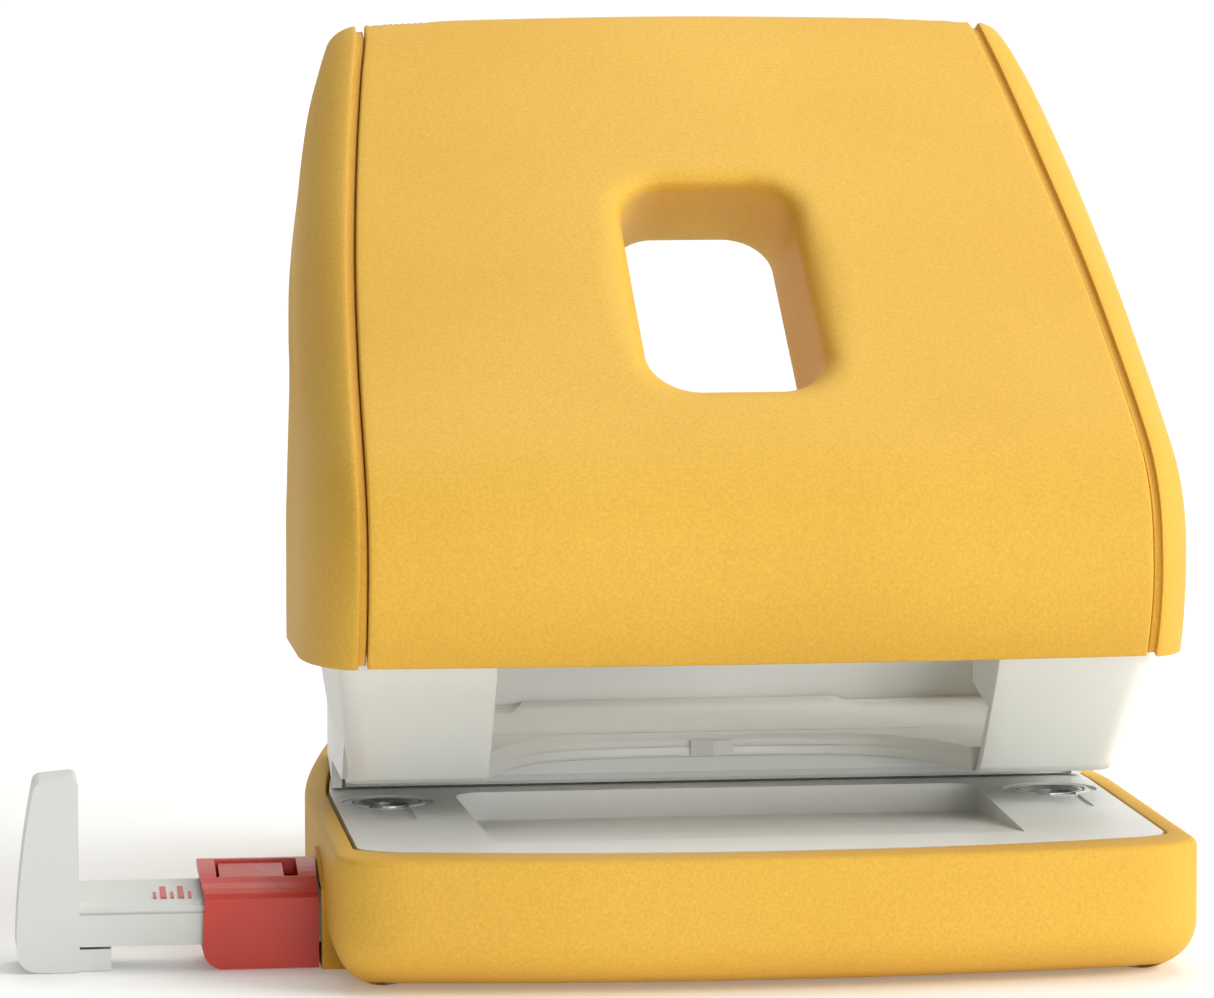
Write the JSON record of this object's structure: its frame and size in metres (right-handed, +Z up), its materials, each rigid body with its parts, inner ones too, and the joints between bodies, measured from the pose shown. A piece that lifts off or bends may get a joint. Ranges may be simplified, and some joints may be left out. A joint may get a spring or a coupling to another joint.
{
  "type": "hole punch",
  "caption": "Two-hole desk punch: a lever handle with a grip opening over a sprung punching head, on a chip tray with a sliding side guide and lock.",
  "frame": {"origin": "centre of the tray's flat underside", "axes": "+Z up; +X to the right as the user faces the paper mouth, along the row of holes; +Y away from the user"},
  "size_m": [0.1362, 0.1194, 0.1077],
  "materials": {
    "yellow_plastic": "fine matte grain",
    "grey_metal": "light grey satin paint",
    "grey_plastic": "light grey satin",
    "red_plastic": "semi-gloss",
    "bare_steel": "ground",
    "dark_steel": "blackened"
  },
  "bodies": {
    "tray": {"base_tray": "yellow_plastic", "hinge_pin_left": "bare_steel", "hinge_pin_right": "bare_steel", "guide_lock_collar": "red_plastic"},
    "lock_button": {"guide_lock_button": "red_plastic"},
    "guide": {"guide_bar": "grey_plastic", "guide_end_stop": "grey_plastic"},
    "mechanism": {"base_plate": "grey_metal", "paper_stop": "grey_metal", "upper_jaw": "grey_metal", "centre_mark": "grey_metal", "mechanism_frame": "grey_metal", "cheek_right": "grey_plastic", "cheek_left": "grey_plastic", "pivot_axle": "bare_steel", "axle_clip_right": "dark_steel", "axle_clip_left": "dark_steel", "die_left": "bare_steel", "die_right": "bare_steel", "punch_bush_left": "grey_metal", "punch_bush_right": "grey_metal", "return_spring_left": "dark_steel", "return_spring_right": "dark_steel", "frame_rivet_left": "bare_steel", "frame_rivet_right": "bare_steel"},
    "handle": {"handle_panel": "yellow_plastic", "handle_back": "yellow_plastic", "handle_cap_left": "yellow_plastic", "handle_cap_right": "yellow_plastic", "lever_frame": "grey_metal", "press_bar": "bare_steel", "lever_screw_1": "dark_steel", "lever_screw_2": "dark_steel", "lever_screw_3": "dark_steel", "lever_screw_4": "dark_steel"},
    "punch_left": {"punch_pin_left": "bare_steel"},
    "punch_right": {"punch_pin_right": "bare_steel"}
  },
  "joints": [
    {"name": "tray_hinge", "type": "hinge", "parent": "tray", "child": "mechanism", "pos_m": [0, 0.052, 0.0104], "axis": [-1, 0, 0], "range_deg": [0, 60]},
    {"name": "handle_press", "type": "hinge", "parent": "mechanism", "child": "handle", "pos_m": [0, -0.025, 0.0414], "axis": [-1, 0, 0], "range_deg": [0, 25], "stiffness_Nm_per_rad": 0.9, "springref_deg": -14.32},
    {"name": "punch_left_slide", "type": "slide", "parent": "mechanism", "child": "punch_left", "axis": [0, 0, -1], "range_m": [0, 0.0083], "deforming": ["return_spring_left"]},
    {"name": "punch_right_slide", "type": "slide", "parent": "mechanism", "child": "punch_right", "axis": [0, 0, -1], "range_m": [0, 0.0083], "deforming": ["return_spring_right"]},
    {"name": "guide_slide", "type": "slide", "parent": "tray", "child": "guide", "axis": [1, 0, 0], "range_m": [-0.071, 0.0095]},
    {"name": "lock_press", "type": "slide", "parent": "tray", "child": "lock_button", "axis": [0, 0, -1], "range_m": [0, 0.0007], "stiffness_N_per_m": 600, "springref_m": -0.0005}
  ],
  "couplings": [
    {"joint": "punch_left_slide", "follows": "handle_press", "m_per_rad": 0.0188},
    {"joint": "punch_right_slide", "follows": "handle_press", "m_per_rad": 0.0188}
  ]
}
